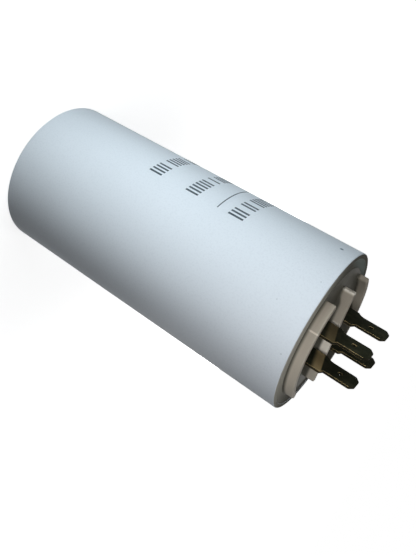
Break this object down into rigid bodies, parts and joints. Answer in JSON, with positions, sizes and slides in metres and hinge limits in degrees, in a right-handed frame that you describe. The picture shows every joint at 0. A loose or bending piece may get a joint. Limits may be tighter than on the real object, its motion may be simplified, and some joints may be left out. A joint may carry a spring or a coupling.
{
  "type": "film capacitor",
  "caption": "White round plastic-cased film capacitor that stands on its closed end, with paired push-on blade terminals on a walled plate cast into its open end.",
  "frame": {"origin": "centre of the closed end, on the plane that the case stands on", "axes": "+Z along the case from the closed end to the terminals; the rib between the terminals runs along X"},
  "size_m": [0.05, 0.05, 0.1208],
  "materials": {
    "case_plastic": "satin white moulded plastic with a fine grain",
    "potting_resin": "dull grey cast resin",
    "plate_plastic": "satin cream moulded plastic",
    "tarnished_brass": "dark tarnished brass with bright cut edges",
    "metallised_film": "smooth metallised film",
    "core_plastic": "plain plastic tube",
    "sprayed_zinc": "rough sprayed zinc",
    "upper_lead_sleeve": "soft plastic sleeve",
    "lower_lead_sleeve": "soft plastic sleeve"
  },
  "bodies": {
    "root": {"case": "case_plastic", "resin_fill": "potting_resin", "terminal_plate": "plate_plastic", "terminal_near": "tarnished_brass", "terminal_far": "tarnished_brass", "wound_element": "metallised_film", "winding_core": "core_plastic", "upper_end_spray": "sprayed_zinc", "lower_end_spray": "sprayed_zinc", "upper_lead": "upper_lead_sleeve", "lower_lead": "lower_lead_sleeve"}
  },
  "joints": []
}
